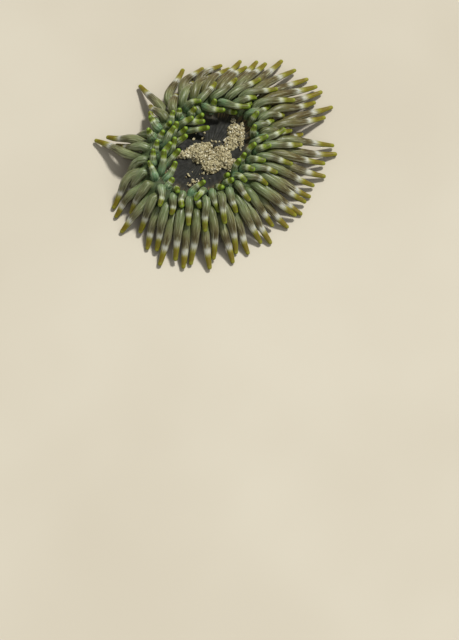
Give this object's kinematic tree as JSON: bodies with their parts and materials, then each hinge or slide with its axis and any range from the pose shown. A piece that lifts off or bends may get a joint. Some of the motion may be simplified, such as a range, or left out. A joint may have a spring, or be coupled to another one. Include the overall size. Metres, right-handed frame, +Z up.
{
  "type": "sea anemone",
  "caption": "Open sea anemone: squat column on a flat pedal disc, dark oval oral disc with a little shell sand on it, and banded tentacles with olive tips that lie spread round it on the floor.",
  "frame": {"origin": "middle of the pedal disc, on the floor", "axes": "+Z up, out of the mouth; +X to the animal's right as seen from the front, and the front faces -Y"},
  "size_m": [0.0737, 0.0722, 0.0146],
  "materials": {
    "pedal_disc": "satin pale buff flesh",
    "column": "satin olive-brown flesh with rows of low warts",
    "collar": "satin grey-green flesh",
    "oral_disc": "satin charcoal flesh with fine radial lines",
    "mouth": "moist dark grey-brown flesh",
    "tentacles": "satin grey-green flesh, pale band, olive tip",
    "sand": "dry shell sand grains lying on the oral disc"
  },
  "bodies": {
    "root": {"pedal_disc": "pedal_disc", "column": "column", "collar": "collar", "oral_disc": "oral_disc", "mouth": "mouth", "sand_heap": "sand", "tentacles_back_right": "tentacles", "tentacles_back": "tentacles", "tentacles_back_left": "tentacles", "tentacles_left_back": "tentacles", "tentacles_left": "tentacles", "tentacles_front_left": "tentacles", "tentacles_front": "tentacles", "tentacles_front_right": "tentacles", "tentacles_right": "tentacles"}
  },
  "joints": []
}
